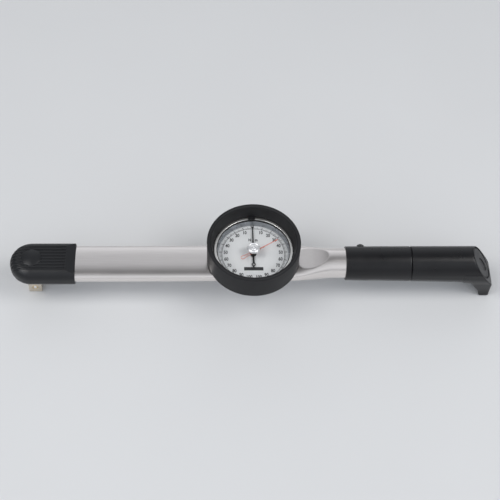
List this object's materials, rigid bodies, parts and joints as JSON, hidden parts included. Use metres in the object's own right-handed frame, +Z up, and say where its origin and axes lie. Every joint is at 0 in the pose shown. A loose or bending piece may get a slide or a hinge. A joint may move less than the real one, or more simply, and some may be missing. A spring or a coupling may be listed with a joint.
{
  "type": "dial torque wrench",
  "caption": "Dial torque wrench: square drive under a rubber head, flattened steel tube, round dial with memory pointer in a deep guard, black hooked grip.",
  "frame": {"origin": "centre of the square drive's end face", "axes": "+X along the wrench to the grip, +Z up from the drive's end face to the dial"},
  "size_m": [0.4746, 0.0904, 0.0777],
  "materials": {
    "tube_steel": "satin plated",
    "dark_steel": "machined, oiled",
    "bronze": "sintered bronze",
    "brass": "turned brass",
    "steel": "ground steel",
    "plated_steel": "nickel plated, satin",
    "spring_steel": "blued spring steel",
    "cover_rubber": "moulded satin rubber",
    "guard_rubber": "moulded rubber, slight sheen",
    "gasket_rubber": "matt",
    "case_metal": "dark coat",
    "dial_white": "matt white with black scale",
    "cone_silver": "bright turned",
    "ring_silver": "polished",
    "lens_clear": "clear",
    "pointer_black": "matt black",
    "memory_red": "satin red",
    "knob_silver": "turned bright",
    "tab_black": "matt",
    "grip_plastic": "fine moulded texture",
    "cap_plastic": "fine moulded texture",
    "screw_black": "black oxide"
  },
  "bodies": {
    "housing": {"housing_tube": "tube_steel", "head_casting": "dark_steel", "lower_bush": "bronze", "upper_bush": "bronze", "head_plate": "steel", "snap_ring": "spring_steel", "head_pins": "steel", "head_cover": "cover_rubber", "measuring_beam": "spring_steel", "beam_anchor": "dark_steel", "anchor_pins": "steel", "anchor_screws": "steel", "dial_case": "case_metal", "case_gasket": "gasket_rubber", "case_screws": "steel", "movement_top_plate": "brass", "movement_low_plate": "brass", "movement_pillars": "brass", "pillar_screws": "steel", "plate_screws": "steel", "spring_stud": "brass", "guard_ring": "guard_rubber", "grip_sleeve": "grip_plastic", "grip_end_cap": "cap_plastic", "grip_screw": "screw_black"},
    "drive": {"drive_head": "plated_steel", "detent_spring": "spring_steel", "beam_pins": "steel", "rack_arm": "steel", "arm_screws": "steel", "sector_rack": "brass", "sector_rivets": "steel"},
    "ball": {"detent_ball": "plated_steel"},
    "pointer": {"pointer_arbor": "steel", "hairspring": "spring_steel", "spring_collet": "brass", "main_pointer": "pointer_black", "pointer_hub": "brass"},
    "bezel": {"lens_ring": "ring_silver", "index_tab": "tab_black", "lens": "lens_clear", "lens_gasket": "gasket_rubber", "dial_cone": "cone_silver", "dial_plate": "dial_white", "dial_screws": "steel"},
    "memory": {"memory_knob": "knob_silver", "friction_washer": "spring_steel", "memory_shaft": "steel", "memory_pointer": "memory_red", "memory_nut": "brass"}
  },
  "joints": [
    {"name": "drive_turn", "type": "hinge", "parent": "housing", "child": "drive", "pos_m": [0, 0, 0.02], "axis": [0, 0, 1], "range_deg": [-1.6, 1.6], "stiffness_Nm_per_rad": 20, "deforming": ["measuring_beam"]},
    {"name": "ball_push", "type": "slide", "parent": "drive", "child": "ball", "axis": [0, 1, 0], "range_m": [0, 0.0009], "stiffness_N_per_m": 500, "deforming": ["detent_spring"]},
    {"name": "pointer_turn", "type": "hinge", "parent": "housing", "child": "pointer", "pos_m": [0.21475, 0, 0.05], "axis": [0, 0, 1], "range_deg": [-172, 172], "deforming": ["hairspring"]},
    {"name": "bezel_turn", "type": "hinge", "parent": "housing", "child": "bezel", "pos_m": [0.21475, 0, 0.06], "axis": [0, 0, 1], "continuous": true},
    {"name": "memory_turn", "type": "hinge", "parent": "bezel", "child": "memory", "pos_m": [0.21475, 0, 0.062], "axis": [0, 0, 1], "continuous": true}
  ],
  "couplings": [
    {"joint": "pointer_turn", "follows": "drive_turn", "ratio": -106.38}
  ]
}
